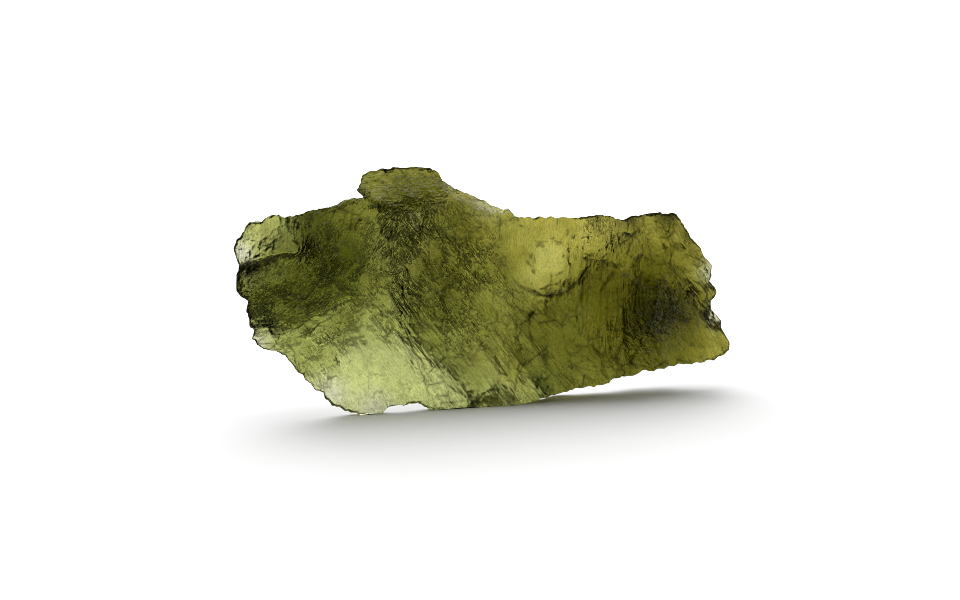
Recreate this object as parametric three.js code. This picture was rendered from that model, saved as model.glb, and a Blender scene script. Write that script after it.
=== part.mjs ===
// A raw moldavite: one piece of green natural glass with a sculpted skin, standing on its lower edge.
// All lengths are in millimetres. +X runs along the stone, +Y away from its broad face, +Z up.
import * as THREE from "three";

// Driving sizes
const FACE_TILT = THREE.MathUtils.degToRad(14); // the plane that the outline is drawn on leans back by this
const FACE_TURN = THREE.MathUtils.degToRad(14); // and its right end is turned away by this
const FACE_LEAN = 0.19; // forward lean of the slab in that plane, per mm of height, which stands it upright
const RIM_SET = 0.6; // depth of the rim behind the plane at the foot
const LEAST_THICKNESS = 0.5;
const DEEPEST_HOLLOW = 0.6; // how far behind the rim's plane the front may lie
const REST_CUT = 0.25; // height that the lowest points are worn flat to, so that the stone stands
const EDGE_THINNING = 0.25; // share of its thickness that the slab loses from the spine to the rim
const SLAB_TAPER = [200, 0.7]; // how the slab and the relief on it round off to the rim
const RELIEF_TAPER = [60, 1.0];
const VIEW_DISTANCE = 400; // the outline was measured from this far off, level with VIEW_HEIGHT
const VIEW_HEIGHT = 9.33;

// The grid of the skin: columns along the stone, rows from the spine to the rim on each face
const COLUMNS = 66;
const FRONT_ROWS = 18;
const BACK_ROWS = 13;
const RIM_ROWS = 0.8; // this share of the rows covers FLAT_SHARE of the way to the rim
const FLAT_SHARE = 0.95;

// The spine that the rows start from, [x, height], left to right
const SPINE = [[-17.1, 10.4], [-10, 9.6], [-4, 9.2], [6, 9.2], [12, 9.4], [17.2, 9.8]];

// The outline as two chains of [x, height] from the left end to the right end, seen square to the face plane
const UPPER_EDGE = [
  [-20.3, 10.1], [-20.35, 10.8], [-20.3, 11.6], [-20.1, 12.2], [-20.5, 13.5], [-20.3, 14.2], [-19.8, 15.0],
  [-19.2, 15.8], [-18.2, 15.9], [-17.7, 16.4], [-17.2, 16.5], [-16.3, 16.2], [-14.8, 16.6], [-14.2, 16.8],
  [-12.6, 17.0], [-11.8, 17.2], [-11.2, 17.65], [-10.4, 17.9], [-9.7, 17.9], [-9.4, 18.6], [-9.1, 19.8],
  [-8.3, 20.3], [-7.5, 20.4], [-5.4, 20.3], [-4.1, 20.3], [-3.5, 20.0], [-3.1, 19.2], [-1.8, 18.5],
  [-0.5, 18.0], [0.8, 17.3], [1.9, 16.8], [2.4, 16.8], [3.0, 16.3], [6.0, 16.2], [6.9, 16.3], [7.9, 16.2],
  [9.2, 16.4], [10.5, 16.3], [11.2, 16.0], [11.8, 16.0], [13.0, 16.4], [14.6, 16.5], [16.0, 16.5],
  [16.7, 16.0], [17.4, 14.7], [18.3, 13.8], [18.8, 12.8], [19.3, 12.2], [19.3, 11.3], [19.1, 10.9],
  [19.5, 10.4], [19.7, 9.9],
];
const LOWER_EDGE = [
  [-20.3, 10.1], [-19.9, 9.6], [-19.3, 9.2], [-19.45, 8.5], [-19.2, 7.2], [-18.8, 6.8], [-18.95, 6.2],
  [-18.3, 5.4], [-17.7, 5.2], [-16.6, 5.0], [-15.9, 4.2], [-15.4, 3.5], [-14.7, 3.0], [-13.7, 1.85],
  [-13.1, 1.65], [-12.8, 1.1], [-12.3, 0.6], [-11.2, 0.2], [-10.2, -0.2], [-8.9, -0.6], [-8.2, -0.3],
  [-7.6, 0.5], [-6.3, 0.6], [-5.2, 0.6], [-4.2, 0.3], [-2.8, 0.2], [-1.9, -0.1], [-0.8, 0.1],
  [0.8, 0.2], [2.5, 0.3], [3.5, 0.5], [4.4, 1.0], [5.7, 1.2], [7.5, 1.8], [9.2, 2.2],
  [10.7, 2.4], [11.5, 2.8], [12.7, 3.0], [13.8, 3.4], [14.3, 3.25], [15.3, 3.6], [16.8, 3.95],
  [18.7, 4.2], [19.8, 4.7], [20.8, 5.1], [20.8, 5.8], [20.1, 7.0], [20.1, 7.6], [19.3, 8.5],
  [19.2, 9.2], [19.5, 9.5], [19.7, 9.9],
];

// Thickness of the slab at places of its face: [x, height, reach, thickness]
const THICKNESS = [
  [-18.2, 14.5, 1.7, 0.9], [-15.7, 13.9, 1.5, 1.9], [-17.1, 9.6, 3.0, 3.5], [-12.9, 15.0, 2.2, 3.6],
  [-11.6, 13.2, 1.6, 4.9], [-12.5, 9.9, 2.4, 3.7], [-15.0, 8.0, 1.6, 3.5], [-18.2, 6.2, 1.9, 0.6],
  [-16.6, 6.1, 1.3, 1.0], [-14.2, 5.4, 1.8, 1.9], [-12.2, 7.2, 1.8, 2.0], [-10.8, 1.4, 2.6, 0.5],
  [-11.3, 3.7, 2.2, 0.6],
  [-7.9, 3.7, 2.6, 0.7], [-8.4, 6.8, 2.0, 1.2], [-7.9, 9.4, 2.2, 1.8], [-7.9, 12.2, 2.2, 2.5],
  [-8.0, 15.5, 2.4, 2.7], [-3.3, 15.6, 2.4, 2.9], [-1.8, 15.6, 1.4, 3.4], [-3.5, 12.0, 2.4, 3.5],
  [-4.0, 8.5, 2.2, 3.1], [-0.8, 12.2, 1.6, 2.3], [-1.5, 6.0, 2.2, 2.0], [0.0, 3.4, 2.2, 1.9],
  [-4.6, 1.4, 2.2, 0.8], [0.8, -0.7, 1.2, 5.6], [-1.8, 0.8, 1.2, 0.9], [3.6, 1.4, 1.2, 1.8],
  [0.4, 9.4, 2.6, 2.5], [1.2, 13.8, 2.4, 2.3], [5.5, 16.0, 2.2, 1.1], [5.5, 12.0, 2.6, 1.7],
  [10.0, 15.3, 2.4, 1.2], [9.2, 12.3, 1.6, 2.1], [11.7, 13.3, 1.6, 2.1], [13.3, 15.3, 1.6, 1.4],
  [10.3, 10.4, 2.2, 4.0], [14.6, 8.7, 2.0, 5.0], [15.2, 12.2, 2.0, 3.4], [15.4, 15.4, 1.6, 1.7],
  [15.2, 13.9, 1.6, 2.5], [16.6, 14.4, 1.4, 1.6], [18.4, 11.5, 1.6, 1.7], [19.3, 11.9, 0.8, 0.5],
  [19.0, 5.6, 2.2, 2.2], [14.2, 5.4, 2.2, 4.2], [17.0, 6.6, 1.3, 3.6], [7.0, 6.0, 3.0, 3.4],
  [-6.3, 20.2, 1.0, 1.2], [-20.3, 13.2, 1.3, 0.5], [-19.0, 5.9, 0.9, 0.5], [-20.3, 10.2, 1.2, 2.4],
  [19.8, 8.1, 0.8, 0.5],
];
const FRONT_SHARE = 0.45; // how much of the thickness lies before the rim's plane, over the spine
const DOME_END = 19.5; // the front's dome is gone this far along the stone
const DOME_FADE = 5.5; // and fades over this length

// The flange at the top: the line where the face turns back into it, and how far back it reaches
const FLANGE_LINE = [
  [-15.8, 17.0], [-11.7, 17.4], [-10.2, 17.8], [-9.6, 17.7], [-7.5, 17.8], [-6.2, 18.0], [-4.6, 18.2],
  [-3.1, 18.4], [-2.3, 17.9], [-1.2, 17.4], [-0.2, 16.9], [0.8, 16.5], [1.7, 16.3], [2.4, 16.6],
  [3.4, 17.5],
];
const FLANGE_REACH = [
  [-12.5, 1.4], [-10.7, 2.0], [-9.6, 2.9], [-6.7, 3.3], [-3.7, 3.3], [-2.5, 2.6], [0, 2.0], [3, 1.4],
];
// Depth gained per mm of height on the flange's upper side, along the stone
const FLANGE_RUN = [[-10.6, 1.4], [-9.4, 0.6], [-3.6, 0.6], [-2.6, 1.8]];
const FLANGE_UNDERSIDE = 0.9; // depth lost per mm of height on its lower side
const FLANGE_OVERHANG = 0.8; // how far its left end stands out past its root

// Rounded lip under the hollow of the upper-left lobe
const LIP_LINE = [
  [-20.5, 12.0], [-18.9, 12.1], [-18.0, 12.3], [-17.2, 12.6], [-16.7, 12.7], [-15.0, 12.7], [-14.4, 13.0],
];
const LIP_DEPTH = 0.9;
const LIP_FADE = 3.4; // height above the lip at which the hollow has run out
const LIP_RIGHT = -13.7;

// Round bubble hollows, two of them inside the widest: [x, height, radius, depth]
const BUBBLES = [[5.65, 13.4, 3.7, 0.45], [5.9, 12.95, 1.65, 0.22], [5.5, 10.9, 1.4, 0.1]];
const BUBBLE_TOP = 15.4; // the hollows have run out at this height
const BUBBLE_FADE = 2.0; // and fade over this length below it

// Broad ridges and furrows of the face: [x, height, x, height, bow, half width, rise]
const STROKES = [
  [-16.0, 6.9, -10.8, 9.2, 0.3, 0.6, -0.6],
  [-14.6, 6.3, -11.2, 8.2, 0.3, 0.8, -0.5],
  [-9.6, 11.8, -6.6, 11.9, -0.3, 0.6, -0.4],
  [-7.1, 6.3, -4.3, 1.8, 0.4, 0.7, -0.4],
  [-2.0, 7.1, 1.8, 3.0, 0.3, 0.7, -0.45],
  [2.1, 7.8, 6.6, 2.4, 0.4, 0.7, -0.5],
  [11.8, 9.3, 12.4, 3.6, -0.3, 0.6, -0.5],
  [-5.9, 17.6, -5.3, 15.2, 0.1, 0.7, -0.6],
];

// The skin's grain: [x, height, direction in degrees]
const GRAIN = [
  [-17.3, 14.3, 70], [-16.5, 9.5, 28], [-8.8, 14.8, 60], [-5.0, 13.8, 125], [-8.0, 8.5, 118], [-11.0, 2.5, 115],
  [-2.0, 5.0, 128], [0.8, 10.0, 120], [4.5, 5.5, 135], [6.0, 13.0, 92], [11.0, 9.5, 88], [15.0, 6.5, 122],
  [18.3, 11.5, 118], [-6.5, 19.6, 4],
];
const GRAIN_REACH = 3.0;
const GRAIN_SHARPNESS = 3.0;

// Relief: swells, scalloped pits drawn out along the grain, and chips in the rim
const SWELL_LENGTH = 3.4;
const SWELL_HEIGHT = 0.2;
const PIT_WIDTH = 2.0;
const PIT_LENGTH = 3.4;
const PIT_DEPTH = 0.4;
const PIT_MEAN = 0.7; // mean of the pits' bowls
const CHIP_LENGTH = 1.1;
const CHIP_DEPTH = 0.22;
const BACK_SHIFT = 57.3; // moves the pattern, so that the back is not a copy of the front

const { clamp, lerp, smoothstep, degToRad } = THREE.MathUtils;
const fract = (v) => v - Math.floor(v);

// A repeatable number from 0 to 1 for a whole-numbered cell
function cellNumber(i, j, salt) {
  return fract(Math.sin(i * 12.9898 + j * 78.233 + salt * 37.719) * 43758.5453);
}

// Smooth noise from 0 to 1, one swell for each unit
function swell(a, b, salt) {
  const i = Math.floor(a);
  const j = Math.floor(b);
  const u = smoothstep(a - i, 0, 1);
  const v = smoothstep(b - j, 0, 1);
  return lerp(
    lerp(cellNumber(i, j, salt), cellNumber(i + 1, j, salt), u),
    lerp(cellNumber(i, j + 1, salt), cellNumber(i + 1, j + 1, salt), u),
    v,
  );
}

// Scalloped pits: 1 at a pit's centre, falling to a sharp crest where two pits meet
function pits(a, b, salt) {
  const i = Math.floor(a);
  const j = Math.floor(b);
  let nearest = 9;
  for (let m = i - 1; m <= i + 1; m++) {
    for (let n = j - 1; n <= j + 1; n++) {
      const away = Math.hypot(m + cellNumber(m, n, salt) - a, n + cellNumber(m, n, salt + 5) - b);
      nearest = Math.min(nearest, away);
    }
  }
  return 1 - Math.min(nearest, 1) ** 2;
}

// Height of a line through [x, height] points
function heightOn(line, x) {
  if (x <= line[0][0]) return line[0][1];
  for (let i = 1; i < line.length; i++) {
    const [x0, z0] = line[i - 1];
    const [x1, z1] = line[i];
    if (x <= x1) return lerp(z0, z1, (x - x0) / (x1 - x0));
  }
  return line.at(-1)[1];
}

// Points at even steps of length along a chain
function evenPoints(chain, steps) {
  const lengths = [0];
  for (let i = 1; i < chain.length; i++) {
    lengths.push(lengths[i - 1] + Math.hypot(chain[i][0] - chain[i - 1][0], chain[i][1] - chain[i - 1][1]));
  }
  const points = [];
  for (let k = 0, i = 1; k <= steps; k++) {
    const at = (k / steps) * lengths.at(-1);
    while (i < chain.length - 1 && lengths[i] < at) i++;
    const share = (at - lengths[i - 1]) / (lengths[i] - lengths[i - 1]);
    points.push([lerp(chain[i - 1][0], chain[i][0], share), lerp(chain[i - 1][1], chain[i][1], share)]);
  }
  return points;
}

// The rim, with small chips knocked out of it
function chippedRim(chain, steps) {
  const points = evenPoints(chain, steps);
  return points.map(([x, z], k) => {
    if (k === 0 || k === steps) return [x, z];
    const bite = CHIP_DEPTH * (swell(x / CHIP_LENGTH, z / CHIP_LENGTH, 7) - 0.5);
    const inward = Math.sign(SPINE[2][1] - z);
    return [x - Math.sign(x) * bite * 0.5, z + inward * bite];
  });
}

// Depth of the rim's plane, set back at the lobe
function middle(x, z) {
  return (Math.tan(FACE_TURN) / Math.cos(FACE_TILT)) * x + RIM_SET - FACE_LEAN * z + lobeHollow(x, z);
}

// Extra depth of the upper side of the flange
function flangeTop(x, z) {
  return heightOn(FLANGE_RUN, x) * Math.max(0, z - heightOn(FLANGE_LINE, x));
}

// How far back the flange's end and underside lie
function flangeBack(x, z) {
  return heightOn(FLANGE_REACH, x) - FLANGE_UNDERSIDE * Math.max(0, heightOn(FLANGE_LINE, x) - z);
}

// Thickness of the slab as a blend of the nearest measured places
function slab(x, z) {
  let sum = 0;
  let total = 0;
  for (const [px, pz, reach, thickness] of THICKNESS) {
    const weight = Math.exp(-((x - px) ** 2 + (z - pz) ** 2) / reach ** 2);
    sum += weight * thickness;
    total += weight;
  }
  return sum / total;
}

// How far the upper-left lobe lies back above its lip
function lobeHollow(x, z) {
  const above = z - heightOn(LIP_LINE, x);
  const side = smoothstep(LIP_RIGHT - x, 0, 2.2);
  return LIP_DEPTH * smoothstep(above, 0, 0.7) * (1 - smoothstep(above, 0.3, LIP_FADE)) * side;
}

function bubbleHollow(x, z) {
  let depth = 0;
  for (const [px, pz, radius, deep] of BUBBLES) {
    depth += deep * Math.max(0, 1 - ((x - px) ** 2 + (z - pz) ** 2) ** 3 / radius ** 6);
  }
  return depth * smoothstep(BUBBLE_TOP - z, 0, BUBBLE_FADE);
}

// Ridges and furrows: a rounded section along a bowed line, fading at both ends
function strokeRise(x, z) {
  let rise = 0;
  for (const [x0, z0, x1, z1, bow, half, height] of STROKES) {
    const length = Math.hypot(x1 - x0, z1 - z0);
    const [dx, dz] = [(x1 - x0) / length, (z1 - z0) / length];
    const along = ((x - x0) * dx + (z - z0) * dz) / length;
    const inside = clamp(along, 0, 1);
    const across = (z - z0) * dx - (x - x0) * dz - 4 * bow * inside * (1 - inside);
    const beyond = (along - inside) * length;
    rise += height * Math.exp(-(across ** 2 + beyond ** 2) / half ** 2);
  }
  return rise;
}

// How much each grain patch counts at a point
function grainShares(x, z) {
  const away = GRAIN.map(([px, pz]) => (x - px) ** 2 + (z - pz) ** 2);
  const nearest = Math.min(...away);
  const shares = away.map((squared) => Math.exp((-GRAIN_SHARPNESS * (squared - nearest)) / GRAIN_REACH ** 2));
  const total = shares.reduce((sum, share) => sum + share, 0);
  return shares.map((share) => share / total);
}

// Scalloped pits drawn out along the grain, each patch's own pattern, in the shares of the patches
function grainPits(x, z, salt) {
  const wander = 0.6 * (swell(x / PIT_WIDTH / 2.3, z / PIT_WIDTH / 2.3, salt + 40) - 0.5);
  const shares = grainShares(x, z);
  let sum = 0;
  GRAIN.forEach(([px, pz, degrees], i) => {
    const [c, s] = [Math.cos(degToRad(degrees)), Math.sin(degToRad(degrees))];
    const along = (x - px) * c + (z - pz) * s;
    const across = (z - pz) * c - (x - px) * s;
    sum += shares[i] * pits(across / PIT_WIDTH + px + wander, along / PIT_LENGTH + pz, salt);
  });
  return sum;
}

function relief(x, z, salt) {
  const swells = swell(x / SWELL_LENGTH, z / SWELL_LENGTH, salt) - 0.5;
  return 2 * SWELL_HEIGHT * swells - PIT_DEPTH * (grainPits(x, z, salt) - PIT_MEAN);
}

// 1 at the spine and 0 at the rim; share is the share of the way from the one to the other
function taper(share, [power, bend]) {
  return (1 - share ** power) ** bend;
}

// The front's part of the thickness: a dome that sinks to nothing at the rim and at the stone's two ends
function frontShare(x, share) {
  return FRONT_SHARE * (1 - share ** 3) * smoothstep(DOME_END - Math.abs(x), 0, DOME_FADE);
}

// How far the front stands before the rim's plane
function frontRise(x, z, share) {
  const thick = frontShare(x, share) * slab(x, z) * (1 - EDGE_THINNING * share ** 2);
  const fine = strokeRise(x, z) + relief(x, z, 1) - bubbleHollow(x, z);
  return Math.max(thick + fine * taper(share, RELIEF_TAPER), -DEEPEST_HOLLOW);
}

function frontDepth(x, z, share) {
  return middle(x, z) + flangeTop(x, z) - frontRise(x, z, share);
}

// The back takes the larger of the slab's and the flange's thickness, and stays clear of the front
function backDepth(x, z, share) {
  const rim = flangeTop(x, z);
  const full = Math.max((1 - frontShare(x, share)) * slab(x, z), flangeBack(x, z) - rim);
  const thick = full * taper(share, SLAB_TAPER) * (1 - EDGE_THINNING * share ** 2);
  const fine = relief(x + BACK_SHIFT, z, 2) * taper(share, RELIEF_TAPER);
  const least = LEAST_THICKNESS * taper(share, SLAB_TAPER) - frontRise(x, z, share);
  return middle(x, z) + rim + Math.max(thick + fine, least);
}

// From the face plane to the stone's own frame, spread in step with the distance that it was measured from
function place(x, z, depth) {
  const overhang = FLANGE_OVERHANG * smoothstep(z, 17.8, 18.6) * (1 - smoothstep(x, -9.4, -8.2));
  const spread = 1 + depth / VIEW_DISTANCE;
  const across = (x - overhang) * spread;
  const height = VIEW_HEIGHT + (z - VIEW_HEIGHT) * spread;
  const away = depth * Math.cos(FACE_TILT) + height * Math.sin(FACE_TILT);
  const up = height * Math.cos(FACE_TILT) - depth * Math.sin(FACE_TILT);
  const [c, s] = [Math.cos(FACE_TURN), Math.sin(FACE_TURN)];
  return new THREE.Vector3(across * c + away * s, away * c - across * s, Math.max(up, REST_CUT));
}

// Share of the way from the spine to the rim, with closer rows where the skin rounds the rim
function rowShare(row, rows) {
  const t = row / rows;
  if (t <= RIM_ROWS) return (t / RIM_ROWS) * FLAT_SHARE;
  return FLAT_SHARE + (1 - FLAT_SHARE) * Math.sin(((t - RIM_ROWS) / (1 - RIM_ROWS)) * (Math.PI / 2));
}

// The rows of one closed loop round the stone: up the front, down the back, and up the front again
function loopRows() {
  const rows = [];
  for (let j = 0; j < FRONT_ROWS; j++) rows.push({ upper: true, front: true, share: rowShare(j, FRONT_ROWS) });
  for (let j = BACK_ROWS; j > 0; j--) rows.push({ upper: true, front: false, share: rowShare(j, BACK_ROWS) });
  for (let j = 0; j < BACK_ROWS; j++) rows.push({ upper: false, front: false, share: rowShare(j, BACK_ROWS) });
  for (let j = FRONT_ROWS; j > 0; j--) rows.push({ upper: false, front: true, share: rowShare(j, FRONT_ROWS) });
  return rows;
}

function stoneSkin() {
  const upper = chippedRim(UPPER_EDGE, COLUMNS);
  const lower = chippedRim(LOWER_EDGE, COLUMNS);
  const rows = loopRows();
  const positions = [];
  for (let k = 0; k <= COLUMNS; k++) {
    const spineX = lerp(SPINE[0][0], SPINE.at(-1)[0], smoothstep(k / COLUMNS, 0, 1));
    const spineZ = heightOn(SPINE, spineX);
    for (const { upper: up, front, share } of rows) {
      const [rimX, rimZ] = up ? upper[k] : lower[k];
      const x = lerp(spineX, rimX, share);
      const z = lerp(spineZ, rimZ, share);
      positions.push(place(x, z, front ? frontDepth(x, z, share) : backDepth(x, z, share)));
    }
  }
  return { positions, loop: rows.length };
}

// The end columns fold shut, so their mirrored rows share one vertex
function skinFaces(loop) {
  const vertex = (k, v) => {
    const row = (v + loop) % loop;
    const folded = k === 0 || k === COLUMNS ? Math.min(row, (loop - row) % loop) : row;
    return k * loop + folded;
  };
  const faces = [];
  for (let k = 0; k < COLUMNS; k++) {
    for (let v = 0; v < loop; v++) {
      const corners = [vertex(k, v), vertex(k + 1, v), vertex(k + 1, v + 1), vertex(k, v + 1)];
      for (const face of [[corners[0], corners[1], corners[2]], [corners[0], corners[2], corners[3]]]) {
        if (new Set(face).size === 3) faces.push(...face);
      }
    }
  }
  return faces;
}

function moldavite() {
  const { positions, loop } = stoneSkin();
  const box = new THREE.Box3().setFromPoints(positions);
  const middlePoint = box.getCenter(new THREE.Vector3());
  const geometry = new THREE.BufferGeometry().setFromPoints(positions).setIndex(skinFaces(loop));
  geometry.translate(-middlePoint.x, -middlePoint.y, -box.min.z);
  geometry.computeVertexNormals();
  const glass = new THREE.MeshStandardMaterial({ color: 0x6d7228, roughness: 0.25, metalness: 0 });
  const mesh = new THREE.Mesh(geometry, glass);
  mesh.name = "moldavite";
  return mesh;
}

const root = new THREE.Group();
root.add(moldavite());

export default root;
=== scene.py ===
"""A raw moldavite on a pale floor: one piece of green natural glass with a sculpted skin.

Lengths in the shape functions are millimetres, measured on the face plane of the stone: x to the right,
z up and depth away from the viewer. place() turns them into the stone's own frame.
"""
import math

import bpy
import numpy as np
from bpy.props import FloatProperty, FloatVectorProperty, IntProperty, PointerProperty
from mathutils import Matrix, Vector


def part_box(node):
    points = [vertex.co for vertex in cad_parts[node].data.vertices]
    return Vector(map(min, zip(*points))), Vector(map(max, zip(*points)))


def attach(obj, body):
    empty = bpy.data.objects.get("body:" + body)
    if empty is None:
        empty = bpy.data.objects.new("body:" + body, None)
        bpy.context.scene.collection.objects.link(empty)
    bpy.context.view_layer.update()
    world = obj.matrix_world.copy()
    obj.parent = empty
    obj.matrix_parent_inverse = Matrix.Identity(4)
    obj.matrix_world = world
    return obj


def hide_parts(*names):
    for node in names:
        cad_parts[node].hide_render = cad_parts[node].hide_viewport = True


bl_info = {
    "name": "Raw moldavite",
    "version": (1, 0, 0),
    "blender": (4, 5, 0),
    "location": "3D View > Sidebar > Moldavite",
    "description": "Builds a raw moldavite and the stage that it stands on",
    "category": "Object",
}

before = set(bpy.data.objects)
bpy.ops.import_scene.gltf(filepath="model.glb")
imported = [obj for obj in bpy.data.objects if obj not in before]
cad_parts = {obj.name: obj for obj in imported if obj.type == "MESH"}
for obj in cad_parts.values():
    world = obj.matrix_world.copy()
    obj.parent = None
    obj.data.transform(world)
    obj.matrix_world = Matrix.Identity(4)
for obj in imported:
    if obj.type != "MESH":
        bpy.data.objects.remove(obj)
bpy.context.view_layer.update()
STONE = "moldavite"
STONE_LOW, STONE_HIGH = (np.array(corner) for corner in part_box(STONE))
STONE_FOOT = np.array([*((STONE_LOW + STONE_HIGH) / 2)[:2], STONE_LOW[2]])  # centre of the solid's footprint

MM = 0.001

# The face plane leans back and its right end turns away
FACE_TILT = math.radians(14)
FACE_TURN = math.radians(14)
RIM_SET = 0.6  # how far back the rim's plane lies at the floor
FACE_LEAN = 0.19  # and how much less with each millimetre of height
REST_CUT = 0.25  # below this height the stone is worn flat
VIEW_DISTANCE = 400  # the outline was measured from this far off, level with VIEW_HEIGHT
VIEW_HEIGHT = 9.33
AIM = [0.0, VIEW_HEIGHT]  # the point of the face plane that the camera looks at, [x, z]

# Limits of the thickness, and the powers by which it and the relief run out at the rim
LEAST_THICKNESS = 0.5
DEEPEST_HOLLOW = 0.6  # how far behind the rim's plane the front may lie
EDGE_THINNING = 0.25  # share of the thickness that is lost on the way to the rim
SLAB_TAPER = [200, 0.7]
RELIEF_TAPER = [60, 1.0]

# This share of the rows is even and goes this far towards the rim, and the others curl over it
RIM_ROWS, FLAT_SHARE = 0.8, 0.95

# The spine that the rows start from, [x, z], left to right
SPINE = np.array([[-17.1, 10.4], [-10, 9.6], [-4, 9.2], [6, 9.2], [12, 9.4], [17.2, 9.8]])

# The outline as two chains of [x, z] from the left end to the right end
UPPER_EDGE = np.array([
    [-20.3, 10.1], [-20.35, 10.8], [-20.3, 11.6], [-20.1, 12.2], [-20.5, 13.5], [-20.3, 14.2], [-19.8, 15.0],
    [-19.2, 15.8], [-18.2, 15.9], [-17.7, 16.4], [-17.2, 16.5], [-16.3, 16.2], [-14.8, 16.6], [-14.2, 16.8],
    [-12.6, 17.0], [-11.8, 17.2], [-11.2, 17.65], [-10.4, 17.9], [-9.7, 17.9], [-9.4, 18.6], [-9.1, 19.8],
    [-8.3, 20.3], [-7.5, 20.4], [-5.4, 20.3], [-4.1, 20.3], [-3.5, 20.0], [-3.1, 19.2], [-1.8, 18.5],
    [-0.5, 18.0], [0.8, 17.3], [1.9, 16.8], [2.4, 16.8], [3.0, 16.3], [6.0, 16.2], [6.9, 16.3], [7.9, 16.2],
    [9.2, 16.4], [10.5, 16.3], [11.2, 16.0], [11.8, 16.0], [13.0, 16.4], [14.6, 16.5], [16.0, 16.5],
    [16.7, 16.0], [17.4, 14.7], [18.3, 13.8], [18.8, 12.8], [19.3, 12.2], [19.3, 11.3], [19.1, 10.9],
    [19.5, 10.4], [19.7, 9.9],
])
LOWER_EDGE = np.array([
    [-20.3, 10.1], [-19.9, 9.6], [-19.3, 9.2], [-19.45, 8.5], [-19.2, 7.2], [-18.8, 6.8], [-18.95, 6.2],
    [-18.3, 5.4], [-17.7, 5.2], [-16.6, 5.0], [-15.9, 4.2], [-15.4, 3.5], [-14.7, 3.0], [-13.7, 1.85],
    [-13.1, 1.65], [-12.8, 1.1], [-12.3, 0.6], [-11.2, 0.2], [-10.2, -0.2], [-8.9, -0.6], [-8.2, -0.3],
    [-7.6, 0.5], [-6.3, 0.6], [-5.2, 0.6], [-4.2, 0.3], [-2.8, 0.2], [-1.9, -0.1], [-0.8, 0.1],
    [0.8, 0.2], [2.5, 0.3], [3.5, 0.5], [4.4, 1.0], [5.7, 1.2], [7.5, 1.8], [9.2, 2.2],
    [10.7, 2.4], [11.5, 2.8], [12.7, 3.0], [13.8, 3.4], [14.3, 3.25], [15.3, 3.6], [16.8, 3.95],
    [18.7, 4.2], [19.8, 4.7], [20.8, 5.1], [20.8, 5.8], [20.1, 7.0], [20.1, 7.6], [19.3, 8.5],
    [19.2, 9.2], [19.5, 9.5], [19.7, 9.9],
])

# Thickness of the slab at places of its face: [x, z, reach, thickness]
THICKNESS = np.array([
    [-18.2, 14.5, 1.7, 0.9], [-15.7, 13.9, 1.5, 1.9], [-17.1, 9.6, 3.0, 3.5], [-12.9, 15.0, 2.2, 3.6],
    [-11.6, 13.2, 1.6, 4.9], [-12.5, 9.9, 2.4, 3.7], [-15.0, 8.0, 1.6, 3.5], [-18.2, 6.2, 1.9, 0.6],
    [-16.6, 6.1, 1.3, 1.0], [-14.2, 5.4, 1.8, 1.9], [-12.2, 7.2, 1.8, 2.0], [-10.8, 1.4, 2.6, 0.5],
    [-11.3, 3.7, 2.2, 0.6], [-7.9, 3.7, 2.6, 0.7], [-8.4, 6.8, 2.0, 1.2], [-7.9, 9.4, 2.2, 1.8],
    [-7.9, 12.2, 2.2, 2.5],
    [-8.0, 15.5, 2.4, 2.7], [-3.3, 15.6, 2.4, 2.9], [-1.8, 15.6, 1.4, 3.4], [-3.5, 12.0, 2.4, 3.5],
    [-4.0, 8.5, 2.2, 3.1], [-0.8, 12.2, 1.6, 2.3], [-1.5, 6.0, 2.2, 2.0], [0.0, 3.4, 2.2, 1.9],
    [-4.6, 1.4, 2.2, 0.8], [0.8, -0.7, 1.2, 5.6], [-1.8, 0.8, 1.2, 0.9], [3.6, 1.4, 1.2, 1.8],
    [0.4, 9.4, 2.6, 2.5], [1.2, 13.8, 2.4, 2.3], [5.5, 16.0, 2.2, 1.1], [5.5, 12.0, 2.6, 1.7],
    [10.0, 15.3, 2.4, 1.2], [9.2, 12.3, 1.6, 2.1], [11.7, 13.3, 1.6, 2.1], [13.3, 15.3, 1.6, 1.4],
    [10.3, 10.4, 2.2, 4.0], [14.6, 8.7, 2.0, 5.0], [15.2, 12.2, 2.0, 3.4], [15.4, 15.4, 1.6, 1.7],
    [15.2, 13.9, 1.6, 2.5], [16.6, 14.4, 1.4, 1.6], [18.4, 11.5, 1.6, 1.7], [19.3, 11.9, 0.8, 0.5],
    [19.0, 5.6, 2.2, 2.2], [14.2, 5.4, 2.2, 4.2], [17.0, 6.6, 1.3, 3.6], [7.0, 6.0, 3.0, 3.4],
    [-6.3, 20.2, 1.0, 1.2],
    [-20.3, 13.2, 1.3, 0.5], [-19.0, 5.9, 0.9, 0.5], [-20.3, 10.2, 1.2, 2.4], [19.8, 8.1, 0.8, 0.5],
])
FRONT_SHARE = 0.45  # how much of the thickness lies before the rim's plane, over the spine
DOME_END, DOME_FADE = 19.5, 5.5  # where along the stone the front's dome has run out, and over what length
DOME_POWER = 3  # and the power by which it runs out towards the rim

# The flange at the top: the line where the face turns back, how far back the stone reaches there, and how
# far the face runs back with each millimetre above the line, all against x
FLANGE_LINE = np.array([
    [-15.8, 17.0], [-11.7, 17.4], [-10.2, 17.8], [-9.6, 17.7], [-7.5, 17.8], [-6.2, 18.0], [-4.6, 18.2],
    [-3.1, 18.4], [-2.3, 17.9], [-1.2, 17.4], [-0.2, 16.9], [0.8, 16.5], [1.7, 16.3], [2.4, 16.6],
    [3.4, 17.5],
])
FLANGE_REACH = np.array([
    [-12.5, 1.4], [-10.7, 2.0], [-9.6, 2.9], [-6.7, 3.3], [-3.7, 3.3], [-2.5, 2.6], [0, 2.0], [3, 1.4],
])
FLANGE_RUN = np.array([[-10.6, 1.4], [-9.4, 0.6], [-3.6, 0.6], [-2.6, 1.8]])
FLANGE_UNDERSIDE = 0.9  # slope of its underside
FLANGE_OVERHANG = 0.8  # how far its left end hangs out
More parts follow.
